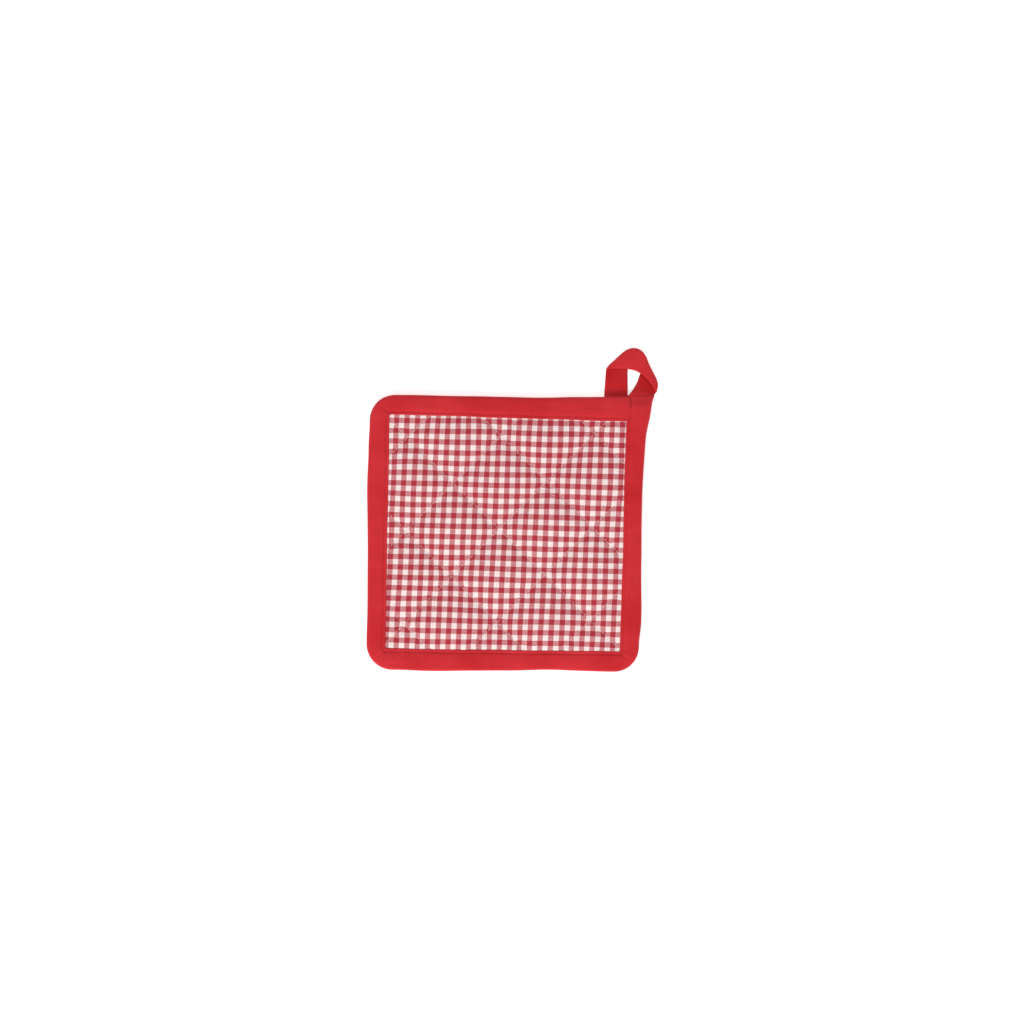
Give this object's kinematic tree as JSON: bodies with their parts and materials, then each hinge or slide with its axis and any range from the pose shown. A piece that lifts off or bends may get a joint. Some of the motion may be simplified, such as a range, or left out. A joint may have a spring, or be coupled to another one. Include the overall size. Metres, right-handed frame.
{
  "type": "pot holder",
  "caption": "Square quilted kitchen pot holder with a bound edge and a folded tape hanging loop at one corner.",
  "frame": {"origin": "centre of the pad's underside, on the face that it rests on", "axes": "+Z out of the checked front face, +Y towards the edge that carries the hanging loop, +X to the right seen from the front"},
  "size_m": [0.2113, 0.2352, 0.0074],
  "materials": {
    "checked_cotton": "matte woven red and white gingham",
    "wadding": "matte felted batting",
    "red_tape": "matte plain woven cotton tape",
    "quilting_thread": "soft sheen spun thread",
    "red_thread": "soft sheen spun thread"
  },
  "bodies": {
    "left_half": {"front_panel_left": "checked_cotton", "upper_wadding_left": "wadding", "lower_wadding_left": "wadding", "back_panel_left": "checked_cotton", "edge_binding_left": "red_tape", "quilting_top_thread_left": "quilting_thread", "quilting_bobbin_thread_left": "quilting_thread", "binding_top_thread_left": "red_thread", "binding_bobbin_thread_left": "red_thread"},
    "right_half": {"front_panel_right": "checked_cotton", "upper_wadding_right": "wadding", "lower_wadding_right": "wadding", "back_panel_right": "checked_cotton", "edge_binding_right": "red_tape", "quilting_top_thread_right": "quilting_thread", "quilting_bobbin_thread_right": "quilting_thread", "binding_top_thread_right": "red_thread", "binding_bobbin_thread_right": "red_thread", "loop_tail": "red_tape", "loop_tack_thread": "red_thread"},
    "loop": {"hanging_loop": "red_tape"}
  },
  "joints": [
    {"name": "pad_fold", "type": "hinge", "parent": "left_half", "child": "right_half", "pos_m": [0, 0, 0.0078], "axis": [0, -1, 0], "range_deg": [0, 170]},
    {"name": "loop_flop", "type": "hinge", "parent": "right_half", "child": "loop", "pos_m": [0.0905, 0.1023, 0.0005], "axis": [1, 0, 0], "range_deg": [-90, 90]}
  ]
}
